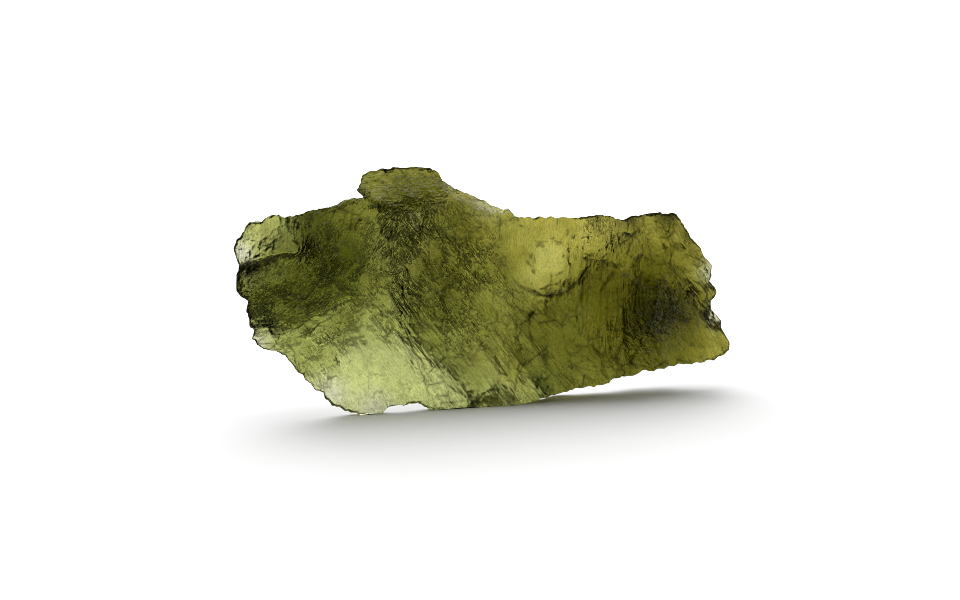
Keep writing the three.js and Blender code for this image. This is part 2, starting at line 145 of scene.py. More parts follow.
OVERHANG_FOOT, OVERHANG_RISE = 17.8, 0.8  # height where that starts, and over what height it grows
OVERHANG_RIGHT, OVERHANG_FADE = -9.4, 1.2  # where it starts to run out to the right, and over what length

# Rounded lip under the hollow of the upper-left lobe
LIP_LINE = np.array([
    [-20.5, 12.0], [-18.9, 12.1], [-18.0, 12.3], [-17.2, 12.6], [-16.7, 12.7], [-15.0, 12.7], [-14.4, 13.0],
])
LIP_DEPTH, LIP_DROP = 0.9, 0.7  # how far the hollow drops back above the line, and over what height
LIP_FADE = [0.3, 3.4]  # heights above the line between which it runs out
LIP_RIGHT, LIP_SIDE = -13.7, 2.2  # where it has run out at the right, and over what length

# Round bubble hollows, two of them inside the widest: [x, z, radius, depth]
BUBBLES = np.array([[5.65, 13.4, 3.7, 0.45], [5.9, 12.95, 1.65, 0.22], [5.5, 10.9, 1.4, 0.1]])
BUBBLE_TOP, BUBBLE_FADE = 15.4, 2.0  # height where the hollows have run out, and over what length
BUBBLE_EDGE = 0.3  # width of the soft edge of their smoothness and paleness
BUBBLE_SMOOTH = [0.75, 0.85, 0.85]  # how smooth each is inside
BUBBLE_PALE = [0.0, 0.04, 0.0]  # and how much paler
BUBBLE_CREASE = [0.07, 0.1]  # depth and half width of the crease round the widest one's lower half, which also carries a painted shade line

# Grooves of the face: [x, z, x, z, bow, half width, rise], with a rise below 0
STROKES = np.array([
    [-9.6, 11.7, -6.5, 11.8, -0.25, 0.25, -0.55],
    [-7.8, 10.3, -6.9, 8.2, 0.15, 0.20, -0.45],
    [-2.2, 11.1, -3.0, 9.9, 0.15, 0.22, -0.45],
    [-15.8, 6.7, -10.8, 9.2, 0.20, 0.35, -0.55],
    [-14.6, 6.4, -11.3, 8.5, 0.15, 0.70, -0.70],
    [-13.5, 5.2, -10.0, 6.8, 0.20, 0.25, -0.30],
    [-10.8, 5.6, -9.0, 3.9, 0.20, 0.20, -0.20],
    [-7.1, 6.4, -4.2, 1.4, 0.40, 0.28, -0.35],
    [-6.3, 5.6, -4.3, 2.7, 0.20, 0.18, -0.20],
    [-3.3, 9.3, -2.7, 6.0, 0.15, 0.22, -0.28],
    [-1.7, 7.3, 1.7, 3.1, 0.25, 0.25, -0.30],
    [1.3, 5.2, 1.4, 1.4, 0.10, 0.20, -0.25],
    [2.1, 8.1, 5.4, 3.9, 0.30, 0.45, -0.45],
    [2.9, 6.0, 7.9, 1.0, 0.25, 0.25, -0.35],
    [9.0, 5.6, 10.4, 2.8, 0.15, 0.22, -0.25],
    [11.8, 8.5, 12.5, 3.7, -0.20, 0.28, -0.50],
    [13.3, 6.8, 14.6, 5.2, 0.10, 0.20, -0.20],
    [8.8, 14.3, 8.3, 9.3, -0.20, 0.25, -0.25],
    [1.6, 16.2, 1.6, 14.3, 0.05, 0.20, -0.35],
    [-8.8, 12.8, -7.1, 15.6, 0.15, 0.18, -0.25],
    [-8.1, 12.5, -6.7, 14.8, 0.15, 0.18, -0.25],
    [-9.8, 13.5, -7.9, 15.8, 0.15, 0.20, -0.28],
    [-6.3, 17.9, -5.2, 15.3, 0.10, 0.25, -0.45],
    [-5.2, 15.3, -4.6, 17.7, -0.10, 0.25, -0.45],
    [-4.6, 18.1, -4.0, 17.3, 0.05, 0.20, -0.30],
    [-6.5, 15.0, -4.6, 12.3, 0.15, 0.20, -0.28],
    [-5.8, 14.5, -4.2, 12.5, 0.15, 0.18, -0.22],
])
STROKE_WANDER = [0.6, 0.3]  # length and size of the noise that a stroke strays by
STROKE_LINE = 0.1  # half width of the painted shade line in a groove
STROKE_DARKEST = 0.35  # from this depth on, the painted shade line is fully dark

# The skin's grain: [x, z, direction in degrees]
GRAIN = np.array([
    [-17.3, 14.3, 70], [-16.5, 9.5, 28], [-8.8, 14.8, 60], [-5.0, 13.8, 125], [-8.0, 8.5, 118],
    [-11.0, 2.5, 115], [-2.0, 5.0, 128], [0.8, 10.0, 120], [4.5, 5.5, 135], [6.0, 13.0, 92],
    [11.0, 9.5, 88], [15.0, 6.5, 122], [18.3, 11.5, 118], [-6.5, 19.6, 4],
])
GRAIN_REACH = 3.0  # reach of a patch's bell curve
GRAIN_SHARPNESS = 3.0  # and the power that it is raised to
GRAIN_LEAST = 0.01  # a patch with a smaller share at a point leaves no scallops there
SPARE_WEIGHT = 0.01  # added to the sum of the four directions' weights, so that it is never 0

# The four directions that the shader's strands are drawn in, degrees from level
GRAIN_LEANS = {"grain_level": 5, "grain_rising": 45, "grain_upright": 88, "grain_falling": 125}

# How warm the colour is along the stone at mid height, [x, share]
WARM = np.array([[-13, 0], [-6, 0.22], [-1, 0.5], [5, 0.6], [9, 0.9], [13, 1.1]])
WARM_RISE, WARM_HEIGHT = 0.045, 9  # how much warmer it is with each millimetre above this height
WARM_NOISE = [2.6, 0.4]  # length and size of the noise in it

# Relief, coarse to fine: broad swells, then layers of scallops, [width, length, depth, step of the salt]
SWELL_LENGTH = 3.4
SWELL_HEIGHT = 0.2
PIT_LAYERS = [[2.0, 3.4, 0.4, 0], [1.0, 2.1, 0.3, 10], [0.5, 1.25, 0.2, 20], [0.26, 0.7, 0.11, 30]]
PIT_MEAN = 0.7  # mean of the scallops' bowls
PIT_WANDER = [2.3, 0.6]  # length and size of the noise that the scallops stray by, in widths
CREASE_HALF = 0.045  # half width of the painted shade line where two scallops meet
CREASE_SHARES = [0.8, 0.65, 0.35]  # how much of the face shows it, for each of the three widest scallops
CREASE_PATCHES = [1.3, 3]  # size of the patches that show it, and how sharp their edges are

# The rim's chips: [length, depth, salt]
CHIP_LAYERS = [[1.1, 0.22, 7], [0.45, 0.18, 17], [0.22, 0.12, 27]]
CHIP_HEIGHT = 9.2  # a chip goes up or down towards this height
CHIP_SIDEWAYS = 0.5  # and by this share of its depth sideways towards the middle

# The back's relief is taken from further along the noise, and it is calmer
BACK_SHIFT = 57.3
BACK_FINE = 0.6  # share of the fine relief that it has
BACK_SMOOTH = 0.5  # how smooth it is

# Fire-polished or smoothly broken patches of the face: [x, z, reach, share of the fine relief taken away]
SMOOTH_PATCHES = np.array([
    [-8.2, 9.3, 1.0, 0.8], [-10.0, 4.4, 1.3, 0.8], [-6.8, 3.4, 1.3, 0.8], [-0.2, 3.5, 1.3, 0.7],
    [5.4, 14.4, 1.6, 0.5], [2.9, 12.3, 1.1, 0.7], [-15.8, 13.6, 1.1, 0.85], [-12.6, 7.8, 0.9, 0.8],
    [0.4, 9.3, 1.0, 0.6], [-11.2, 13.3, 0.9, 0.8], [9.6, 8.6, 1.6, 0.7], [14.0, 11.2, 1.2, 0.8],
    [6.7, 5.4, 1.4, 0.6], [-16.2, 13.4, 0.9, 0.7], [9.5, 14.3, 1.0, 0.6], [-4.0, 6.5, 0.8, 0.7],
    [16.3, 6.6, 1.0, 0.6], [-7.5, 19.3, 1.5, 0.3], [-5.2, 19.3, 1.5, 0.3], [-9.0, 6.4, 1.1, 0.6],
    [-13.6, 4.2, 0.8, 0.6], [-10.5, 1.8, 1.6, 0.8], [-8.6, 4.4, 1.2, 0.8], [-17.0, 14.0, 1.6, 0.6],
    [-12.2, 4.4, 1.2, 0.7], [-11.6, 1.4, 1.0, 0.6], [-17.0, 14.2, 2.4, 0.65], [-15.0, 14.6, 1.6, 0.5],
    [9.5, 13.4, 2.0, 0.7], [18.2, 6.0, 2.0, 0.5],
])

# Places where the skin is craggy, with deep folds: [x, z, reach, share]
CRAGGY_PATCHES = np.array([
    [-6.2, 15.0, 3.4, 1.0], [-12.2, 12.6, 3.0, 0.8], [-6.6, 10.4, 3.0, 0.7], [-1.5, 12.0, 3.2, 0.7],
    [-17.0, 9.4, 2.4, 0.8], [-13.0, 8.6, 2.2, 0.7], [-1.6, 6.8, 2.0, 0.5], [9.4, 14.8, 2.2, 0.5],
    [-12.6, 5.6, 1.6, 0.5], [12.6, 6.6, 2.0, 0.5], [-2.6, 9.0, 2.4, 0.6], [15.3, 8.8, 1.8, 0.85],
])

# Places where the skin is finely pitted all over and dull: [x, z, reach, share]
SPECKLED_PATCHES = np.array([
    [-17.2, 9.8, 3.0, 0.9], [-13.2, 14.6, 2.0, 0.9], [-14.0, 10.6, 2.4, 0.7], [-8.0, 14.2, 2.4, 0.5],
    [-2.0, 15.2, 1.8, 0.7], [-2.3, 9.0, 1.8, 0.4], [15.0, 8.2, 1.9, 1.0], [9.4, 8.8, 1.4, 0.5],
    [12.2, 14.2, 2.0, 0.4], [-10.8, 7.6, 1.6, 0.5], [18.4, 8.2, 1.6, 0.5], [-6.6, 8.6, 1.2, 0.3],
    [-6.2, 19.2, 2.4, 0.9], [-17.0, 14.0, 2.0, 0.3], [-0.6, 5.0, 2.2, 0.4], [15.6, 16.2, 1.4, 1.0],
    [12.4, 16.1, 1.2, 0.8], [9.4, 16.2, 1.2, 0.6], [17.5, 14.5, 1.1, 0.9],
])

# Places where the glass is a deeper colour, below 0, or paler, above 0: [x, z, reach, share]. Partly the
# glass's own tone; the deep places along the upper rim are painted shade, and the pale ones at the lobe's
# tip, the toe and the right rim are painted highlights.
TONE_AND_LIGHT_PATCHES = np.array([
    [-14.6, 14.2, 1.5, -0.55], [-17.0, 13.8, 1.8, -0.4], [-6.5, 19.4, 2.6, -0.15], [14.7, 8.4, 1.9, -0.65],
    [12.0, 14.6, 2.4, -0.2], [16.6, 6.0, 2.0, -0.22], [4.0, 6.0, 3.0, -0.08], [1.6, 12.6, 1.1, -0.3],
    [5.6, 13.2, 2.6, -0.1], [3.0, 10.2, 1.1, -0.25], [5.8, 9.0, 1.2, -0.2], [9.2, 10.6, 1.1, -0.2],
    [10.4, 15.2, 1.6, -0.14], [-1.5, 3.2, 2.2, -0.28], [-9.0, 4.4, 3.0, -0.24], [-6.5, 14.6, 2.6, 0.34],
    [-5.6, 10.0, 2.8, 0.26], [1.2, 0.7, 1.6, 0.5], [12.6, 16.3, 0.9, -0.7], [15.6, 16.4, 1.0, -0.9],
    [17.6, 14.7, 0.9, -0.8], [-13.6, 16.8, 1.2, -0.5], [-10.8, 17.6, 1.0, -0.4], [-5.7, 16.3, 0.6, 0.8],
    [-5.2, 15.4, 0.5, 0.6], [-4.0, 17.2, 0.7, 0.5], [-19.9, 13.2, 1.1, 1.0], [-19.0, 11.3, 1.0, 0.6],
    [-16.8, 11.8, 1.1, 0.5], [-18.6, 5.9, 1.1, 0.7], [-12.4, 1.5, 1.5, 0.8], [-8.8, 0.2, 1.6, 0.8],
    [19.1, 11.6, 1.1, 0.9], [19.6, 7.9, 1.1, 0.9], [0.4, 17.1, 1.3, 0.5], [-9.2, 3.2, 1.4, 0.15],
])

# The strands of the shader's skin, coarse to fine: [length, width, detail], and the roughness of their noise
STRANDS = [[1.9, 0.27, 1.0], [0.85, 0.16, 1.0], [0.28, 0.09, 2.0]]
STRAND_ROUGH = 0.5
STRAND_MIX = 0.15  # how much the middle strands add to the coarse ones in the bumps

# Noises of the shader: [cells to a millimetre, detail, roughness]
PATCHY_NOISE = [0.7, 2.0, 0.6]
DUST_NOISE = [6.5, 2.0, 0.6]
POLISH_NOISE = [1.4, 3.0, 0.6]

# How a mark fades between two values of its noise: [low, high, strength at low, strength at high]
PATCHY_FADE = [0.38, 0.56, 0.35, 1.0]
DULL_FADE = [0.45, 0.495, 0.8, 0.0]
# Painted shade on one side of the middle strands, as if they were lit from the other side
EMBOSS_SHADE_FADE = [0.47, 0.52, 0.6, 0.0]
DUST_FADE = [0.52, 0.57, 0.75, 0.0]
POLISH_FADE = [0.35, 0.65]  # from the polished roughness to the etched one
CRAGGY_GAIN = [1.3, 0.5]  # the strands show by the first times how craggy the place is, plus the second
DULL_LEAST = 0.42  # the dull marks show at least this much

# Painted shade in the folds, where a strand's value comes near this one
FOLD_VALUE = 0.49
FOLD_CORE = 0.004  # a fold is fully dark this near to it
FOLD_HALVES = [0.018, 0.024]  # and gone this far off it, for the coarse and the middle strands

# The floor and the studio
FLOOR_CORNERS = 96
FLOOR_ROUGHNESS, FLOOR_GLOSS = 0.9, 0.1
FLOOR_DROP = 0.00002  # how far the floor lies under the stone, in metres
STUDIO_RISE = 0.6  # how much height counts, against depth, in what lies behind and above
STUDIO_BLEND = [-0.5, 0.5]  # and between which sums of the two the light changes
BACKDROP = 1.05  # brightness of the backdrop that the camera sees
LAMP_PLACE = (0.0, 0.28, 0.58)  # where the soft lamp hangs, in metres

# Salts tell the noises apart: those of the front, the back, the strokes and the warmth, and the steps from a
# noise to the ones that go with it
FRONT_SALT, BACK_SALT, STROKE_SALT, WARM_SALT = 1, 2, 71, 81
ALONG_STEP, WANDER_STEP, PATCH_STEP = 5, 40, 60

# How far the sine of the noise runs on for each cell across, each cell along and each salt, and its height
CELL_WAVES, CELL_HEIGHT = [12.9898, 78.233, 37.719], 43758.5453
FAR = 9.0  # more cells than the nearest points are ever away


def cell_number(i, j, salt):
    """A repeatable number from 0 to 1 for each whole-numbered cell: the fraction of a large sine."""
    v = np.sin(i * CELL_WAVES[0] + j * CELL_WAVES[1] + salt * CELL_WAVES[2]) * CELL_HEIGHT
    return v - np.floor(v)


def ease(v):
    """0 below 0, 1 above 1, and the cubic 3v^2 - 2v^3 between."""
    v = np.clip(v, 0, 1)
    return v * v * (3 - 2 * v)


def swell(a, b, salt):
    """Smooth noise from 0 to 1: the numbers of the four cells round a point, blended by its place."""
    i, j = np.floor(a), np.floor(b)
    u, v = ease(a - i), ease(b - j)
    low = cell_number(i, j, salt) * (1 - u) + cell_number(i + 1, j, salt) * u
    high = cell_number(i, j + 1, salt) * (1 - u) + cell_number(i + 1, j + 1, salt) * u
    return low * (1 - v) + high * v


def scallops(a, b, salt):
    """Distances to the nearest and the second nearest of the points strewn one to a cell."""
    i, j = np.floor(a), np.floor(b)
    nearest, second = np.full(a.shape, FAR), np.full(a.shape, FAR)
    for m in (-1, 0, 1):
        for n in (-1, 0, 1):
            across = i + m + cell_number(i + m, j + n, salt) - a
            along = j + n + cell_number(i + m, j + n, salt + ALONG_STEP) - b
            away = np.hypot(across, along)
            second = np.minimum(second, np.maximum(nearest, away))
            nearest = np.minimum(nearest, away)
    return nearest, second


def height_on(line, x):
    """Height of a line through [x, z] points, level past its ends."""
    return np.interp(x, line[:, 0], line[:, 1])


def even_points(chain, steps):
    """Points at even steps of length along a chain of straight pieces."""
    lengths = np.concatenate([[0], np.cumsum(np.hypot(*np.diff(chain, axis=0).T))])
    at = np.linspace(0, lengths[-1], steps + 1)
    return np.stack([np.interp(at, lengths, chain[:, 0]), np.interp(at, lengths, chain[:, 1])], axis=1)


def chipped_rim(chain, steps):
    """The chain at even steps, with each point but the two ends moved in or out by three layers of noise."""
    points = even_points(chain, steps)
    x, z = points.T
    bite = np.zeros(steps + 1)
    for length, depth, salt in CHIP_LAYERS:
        bite += depth * (swell(x / length, z / length, salt) - 0.5)
    bite[[0, -1]] = 0
    return np.stack([x - np.sign(x) * bite * CHIP_SIDEWAYS, z + np.sign(CHIP_HEIGHT - z) * bite], axis=1)


def near(x, z, places):
    """For each [x, z, reach, ...] place, the bell curve exp(-(distance / reach)^2) and its other numbers."""
    for px, pz, reach, *others in places:
        yield np.exp(-((x - px) ** 2 + (z - pz) ** 2) / reach ** 2), others


def middle(x, z):
    """Depth of the rim's plane: it turns away to the right, leans forward with height, and the lobe drops."""
    return math.tan(FACE_TURN) / math.cos(FACE_TILT) * x + RIM_SET - FACE_LEAN * z + lobe_hollow(x, z)


def flange_top(x, z):
    """Extra depth above the flange line, growing straight with height."""
    return height_on(FLANGE_RUN, x) * np.maximum(0, z - height_on(FLANGE_LINE, x))


def flange_back(x, z):
    """How far back the flange lies: its reach, less its underside's slope times the height below the line."""
    return height_on(FLANGE_REACH, x) - FLANGE_UNDERSIDE * np.maximum(0, height_on(FLANGE_LINE, x) - z)


def slab(x, z):
    """Thickness of the slab: the mean of the places' own, weighted by their bell curves."""
    summed, total = 0.0, 0.0
    for weight, (thickness,) in near(x, z, THICKNESS):
        summed = summed + weight * thickness
        total = total + weight
    return summed / total


def lobe_hollow(x, z):
    """How far the lobe lies back: it drops at the lip line and runs out with height and to the right."""
    above = z - height_on(LIP_LINE, x)
    side = ease((LIP_RIGHT - x) / LIP_SIDE)
    start, end = LIP_FADE
    return LIP_DEPTH * ease(above / LIP_DROP) * (1 - ease((above - start) / (end - start))) * side


def bubble_hollow(x, z):
    """Round bowls, flat inside and steep at the edge, and a crease round the widest one's lower half."""
    depth = 0
    for px, pz, radius, deep in BUBBLES:
        depth = depth + deep * np.maximum(0, 1 - ((x - px) ** 2 + (z - pz) ** 2) ** 3 / radius ** 6)
    return depth * ease((BUBBLE_TOP - z) / BUBBLE_FADE) + BUBBLE_CREASE[0] * bubble_line(x, z)


def bubble_line(x, z):
    """1 on the lower half of the widest bubble's edge: a bell curve of the distance from it."""
    px, pz, radius, _ = BUBBLES[0]
    off = np.hypot(x - px, z - pz) - radius
    return np.exp(-(off / BUBBLE_CREASE[1]) ** 2) * ease((pz - z) / radius)


def stroke_distances(x, z):
    """For each stroke its squared distance, half width and rise. A parabola bows it, and noise moves it."""
    span, size = STROKE_WANDER
    wander = size * (swell(x / span, z / span, STROKE_SALT) - 0.5)
    for x0, z0, x1, z1, bow, half, height in STROKES:
        length = math.hypot(x1 - x0, z1 - z0)
        dx, dz = (x1 - x0) / length, (z1 - z0) / length
        along = ((x - x0) * dx + (z - z0) * dz) / length
        inside = np.clip(along, 0, 1)
        across = (z - z0) * dx - (x - x0) * dz - 4 * bow * inside * (1 - inside) + wander
        beyond = (along - inside) * length
        yield across ** 2 + beyond ** 2, half, height


def stroke_rise(x, z):
    """Grooves: a bell curve of the distance to each stroke."""
    rise = 0
    for squared, half, height in stroke_distances(x, z):
        rise = rise + height * np.exp(-squared / half ** 2)
    return rise


def stroke_shade_lines(x, z):
    """Painted shade: the thin dark line at the bottom of each groove, darker in the deeper ones."""
    lines = np.zeros(x.shape)
    for squared, _, height in stroke_distances(x, z):
        # Painted shade line, darker in the deeper grooves
        lines = np.maximum(lines, min(1, -height / STROKE_DARKEST) * np.exp(-squared / STROKE_LINE ** 2))
    return lines


def grain_shares(x, z):
    """How much each grain patch counts at a point: its bell curve to a power, over the sum of them all."""
    away = (x[..., None] - GRAIN[:, 0]) ** 2 + (z[..., None] - GRAIN[:, 1]) ** 2
    shares = np.exp(-GRAIN_SHARPNESS * (away - away.min(axis=-1, keepdims=True)) / GRAIN_REACH ** 2)
    return shares / shares.sum(axis=-1, keepdims=True)


def grain_pits(x, z, width, length, salt):
    """Scallops drawn out along the grain, each patch's own pattern, in the shares of the patches.

    Returns the bowls, one minus the squared distance to the nearest point, and the creases between them, a
    bell curve of half the difference between the two nearest distances.
    """
    shares = grain_shares(x, z)
    bowls, creases = np.zeros(x.shape), np.zeros(x.shape)
    span, size = PIT_WANDER
    wander = size * (swell(x / width / span, z / width / span, salt + WANDER_STEP) - 0.5)
    for (px, pz, degrees), share in zip(GRAIN, np.moveaxis(shares, -1, 0)):
        inside = share > GRAIN_LEAST
        c, s = math.cos(math.radians(degrees)), math.sin(math.radians(degrees))
        along = ((x - px) * c + (z - pz) * s)[inside]
        across = ((z - pz) * c - (x - px) * s)[inside]
        nearest, second = scallops(across / width + px + wander[inside], along / length + pz, salt)
        bowls[inside] += share[inside] * (1 - np.minimum(nearest, 1) ** 2)
        creases[inside] += share[inside] * np.exp(-((second - nearest) * width / 2 / CREASE_HALF) ** 2)
    return bowls, creases


def strongest(x, z, patches):
    """The strongest of the patches' bell curves, from 0 to 1."""
    level = np.zeros(x.shape)
    for weight, (share,) in near(x, z, patches):
        level = np.maximum(level, share * weight)
    return level


def bubble_discs(x, z, shares):
    """For each bubble its share inside and 0 outside, with a soft edge."""
    for (px, pz, radius, _), share in zip(BUBBLES, shares):
        yield share * ease((radius - np.hypot(x - px, z - pz)) / BUBBLE_EDGE)


def smoothness(x, z):
    """How smooth the skin is, from 0 to 1: the patches, and the round bubbles as evenly smooth discs."""
    smooth = strongest(x, z, SMOOTH_PATCHES)
    for disc in bubble_discs(x, z, BUBBLE_SMOOTH):
        smooth = np.maximum(smooth, disc)
    return smooth


def relief(x, z, salt, pit_scale, keep):
    """Broad swells less the scallops of every layer; keep is the share of the fine layers that is left."""
    height = 2 * SWELL_HEIGHT * (swell(x / SWELL_LENGTH, z / SWELL_LENGTH, salt) - 0.5)
    for layer, (width, length, depth, step) in enumerate(PIT_LAYERS):
        share = 1 if layer == 0 else keep
        bowls, _ = grain_pits(x, z, width, length, salt + step)
        height = height - share * pit_scale * depth * (bowls - PIT_MEAN)
    return height


def painted_crease_shade(x, z):
    """Painted shade in front: dark lines in the creases between scallops, in patches, in the grooves and
    round the widest bubble's lower edge.
    """
    lines = np.zeros(x.shape)
    patch, sharp = CREASE_PATCHES
    for (width, length, _, step), share in zip(PIT_LAYERS, CREASE_SHARES):
        _, creases = grain_pits(x, z, width, length, FRONT_SALT + step)
        noise = swell(x / patch, z / patch, FRONT_SALT + step + PATCH_STEP)
        shown = ease(sharp * (noise + share - 1))
        lines = np.maximum(lines, creases * shown)
    lines = lines * (1 - smoothness(x, z))
    return np.maximum(lines, np.maximum(stroke_shade_lines(x, z), bubble_line(x, z)))


def tones_and_painted_light(x, z):
    """How deep or pale the colour is, partly the glass's own tone and partly painted shade and painted
    highlights: the patches' bell curves, each times its share, and the bubbles.
    """
    patches = sum(share * weight for weight, (share,) in near(x, z, TONE_AND_LIGHT_PATCHES))
    return patches + sum(bubble_discs(x, z, BUBBLE_PALE))


def warmth(x, z):
    """How warm the colour is, from 0 to 1: by its place, and a little by smooth noise."""
    place_share = height_on(WARM, x) + WARM_RISE * (z - WARM_HEIGHT)
    span, size = WARM_NOISE
    return np.clip(place_share + size * (swell(x / span, z / span, WARM_SALT) - 0.5), 0, 1)


def taper(share, power, bend):
    """1 at the spine and 0 at the rim: one less the share to a power, to a second power."""
    return (1 - share ** power) ** bend


def front_share(x, share):
    """The front's part of the thickness: a dome that sinks to nothing at the rim and at the two ends."""
    return FRONT_SHARE * (1 - share ** DOME_POWER) * ease((DOME_END - np.abs(x)) / DOME_FADE)


def front_rise(x, z, share, pit_scale):
    """How far the front stands before the rim's plane: the slab, thinner to the rim, and the relief."""
    thick = front_share(x, share) * slab(x, z) * (1 - EDGE_THINNING * share ** 2)
    fine = stroke_rise(x, z) + relief(x, z, FRONT_SALT, pit_scale, 1 - smoothness(x, z))
    fine = fine - bubble_hollow(x, z)
    return np.maximum(thick + fine * taper(share, *RELIEF_TAPER), -DEEPEST_HOLLOW)


def front_depth(x, z, share, pit_scale):
    """The front: the middle, less the rise."""
    return middle(x, z) + flange_top(x, z) - front_rise(x, z, share, pit_scale)


def back_depth(x, z, share, pit_scale):
    """The back: the middle plus the slab's or the flange's thickness, the larger, and clear of the front."""
    rim = flange_top(x, z)
    thick = np.maximum((1 - front_share(x, share)) * slab(x, z), flange_back(x, z) - rim)
    thick = thick * taper(share, *SLAB_TAPER) * (1 - EDGE_THINNING * share ** 2)
    fine = relief(x + BACK_SHIFT, z, BACK_SALT, pit_scale, BACK_FINE) * taper(share, *RELIEF_TAPER)
    least = LEAST_THICKNESS * taper(share, *SLAB_TAPER) - front_rise(x, z, share, pit_scale)
    return middle(x, z) + rim + np.maximum(thick + fine, least)


def place(x, z, depth):
    """From the face plane to the stone's own frame.

    The point is spread in step with its distance from where the outline was measured, leaned by the tilt,
    turned by the turn and worn flat at its foot.
    """
    overhang = FLANGE_OVERHANG * ease((z - OVERHANG_FOOT) / OVERHANG_RISE)
    overhang = overhang * (1 - ease((x - OVERHANG_RIGHT) / OVERHANG_FADE))
    spread = 1 + depth / VIEW_DISTANCE
    across = (x - overhang) * spread
    height = VIEW_HEIGHT + (z - VIEW_HEIGHT) * spread
    away = depth * math.cos(FACE_TILT) + height * math.sin(FACE_TILT)
    up = height * math.cos(FACE_TILT) - depth * math.sin(FACE_TILT)
    c, s = math.cos(FACE_TURN), math.sin(FACE_TURN)
    return np.stack([across * c + away * s, away * c - across * s, np.maximum(up, REST_CUT)], axis=-1)


def row_shares(rows):
    """Shares of the way from the spine to the rim: even, then closing up as a sine towards the rim."""
    t = np.arange(rows + 1) / rows
    flat = t / RIM_ROWS * FLAT_SHARE
    curl = FLAT_SHARE + (1 - FLAT_SHARE) * np.sin((t - RIM_ROWS) / (1 - RIM_ROWS) * math.pi / 2)
    return np.where(t <= RIM_ROWS, flat, curl)


def stone_skin(columns, front_rows, back_rows, pit_scale):
    """The closed skin as a grid of columns along the stone by one loop round it.

    Each column starts on the spine, runs up the front to the upper rim, down the back to the lower rim and
    up the front again. Returns the points, their x and z on the face plane, and which rows are in front.
    """
    upper = chipped_rim(UPPER_EDGE, columns)[:, None]
    lower = chipped_rim(LOWER_EDGE, columns)[:, None]
    spine_x = SPINE[0, 0] + (SPINE[-1, 0] - SPINE[0, 0]) * ease(np.linspace(0, 1, columns + 1))
    spine = np.stack([spine_x, height_on(SPINE, spine_x)], axis=1)[:, None]
    front, back = row_shares(front_rows), row_shares(back_rows)
    share = np.concatenate([front[:-1], back[:0:-1], back[:-1], front[:0:-1]])
    is_upper = np.arange(len(share)) < front_rows + back_rows
    is_front = np.concatenate([
        np.ones(front_rows, bool), np.zeros(2 * back_rows, bool), np.ones(front_rows, bool),
    ])
    rim = np.where(is_upper[None, :, None], upper, lower)
    plane = spine + (rim - spine) * share[None, :, None]
    x, z = plane[..., 0], plane[..., 1]
    depth = np.empty(x.shape)
    depth[:, is_front] = front_depth(x[:, is_front], z[:, is_front], share[is_front], pit_scale)
    depth[:, ~is_front] = back_depth(x[:, ~is_front], z[:, ~is_front], share[~is_front], pit_scale)
    return place(x, z, depth), x, z, is_front


def skin_faces(columns, loop):
    """Quads between neighbouring columns. The end columns fold shut: their mirrored rows share one point."""
    k = np.arange(columns + 1)[:, None]
    row = np.broadcast_to(np.arange(loop), (columns + 1, loop))
    folded = np.minimum(row, (loop - row) % loop)
    index = k * loop + np.where((k == 0) | (k == columns), folded, row)
    following = np.roll(index, -1, axis=1)
    return np.stack([index[:-1], index[1:], following[1:], following[:-1]], axis=-1).reshape(-1, 4)


def clean_faces(quads):
    """The quads as lists of corners, and those of the folded ends as triangles without doubled corners."""
    doubled = quads == np.roll(quads, -1, axis=1)
    full = quads[~doubled.any(axis=1)]
    short = quads[doubled.sum(axis=1) == 1]
    keep = ~(short == np.roll(short, -1, axis=1))
    return full.tolist() + short[keep].reshape(-1, 3).tolist()


def grain_weights(x, z):
    """How much each of four directions counts: the squared cosine of twice the angle off the local grain."""
    shares, degrees = grain_shares(x, z), np.radians(2 * GRAIN[:, 2])
    angle = np.arctan2(shares @ np.sin(degrees), shares @ np.cos(degrees)) / 2
    leans = [math.radians(lean) for lean in GRAIN_LEANS.values()]
    weights = [np.maximum(np.cos(2 * (angle - lean)), 0) ** 2 for lean in leans]
    return [w / (sum(weights) + SPARE_WEIGHT) for w in weights]


def solid_object(name, points, quads, attributes):
    """A smooth mesh object from arrays of points and faces, with one number per point for each attribute."""
    used = np.unique(quads)
    renumber = np.zeros(len(points), int)
    renumber[used] = np.arange(len(used))
    mesh = bpy.data.meshes.new(name)
    mesh.from_pydata(points[used].tolist(), [], clean_faces(renumber[quads]))
    for title, values in attributes.items():
        layer = mesh.attributes.new(title, "FLOAT", "POINT")
        layer.data.foreach_set("value", values.ravel()[used].astype(np.float32))
    mesh.shade_smooth()
    mesh.validate()
    piece = bpy.data.objects.new(name, mesh)
    bpy.context.scene.collection.objects.link(piece)
    return piece


class NodeBench:
    """Adds shader nodes and joins them, so that a material reads from top to bottom."""

    def __init__(self, tree):
        self.tree = tree

    def add(self, kind, inputs=None, **settings):
        node = self.tree.nodes.new(kind)
        for key, value in settings.items():
            setattr(node, key, value)
        for socket, value in (inputs or {}).items():
            if isinstance(value, bpy.types.NodeSocket):
                self.tree.links.new(value, node.inputs[socket])
            else:
                node.inputs[socket].default_value = value
        return node

    def math(self, operation, a, b=0.0, c=0.0, clamp=False):
        return self.add("ShaderNodeMath", {0: a, 1: b, 2: c}, operation=operation, use_clamp=clamp).outputs[0]

    def times(self, a, b, clamp=False):
        return self.math("MULTIPLY", a, b, clamp=clamp)

    def rest(self, a):
        return self.math("SUBTRACT", 1.0, a)

    def attribute(self, name):
        return self.add("ShaderNodeAttribute", attribute_name=name).outputs["Fac"]

    def noise(self, vector, scale, detail, rough):
        settings = {"Vector": vector, "Scale": scale, "Detail": detail, "Roughness": rough}
        return self.add("ShaderNodeTexNoise", settings).outputs["Fac"]

    def blend(self, factor, first, second):
        return self.add("ShaderNodeMix", {"Factor": factor, 6: first, 7: second}, data_type="RGBA").outputs[2]

    def ramp(self, value, low, high, start, end):
        inputs = {"Value": value, "From Min": low, "From Max": high, "To Min": start, "To Max": end}
        return self.add("ShaderNodeMapRange", inputs, interpolation_type="SMOOTHSTEP").outputs["Result"]


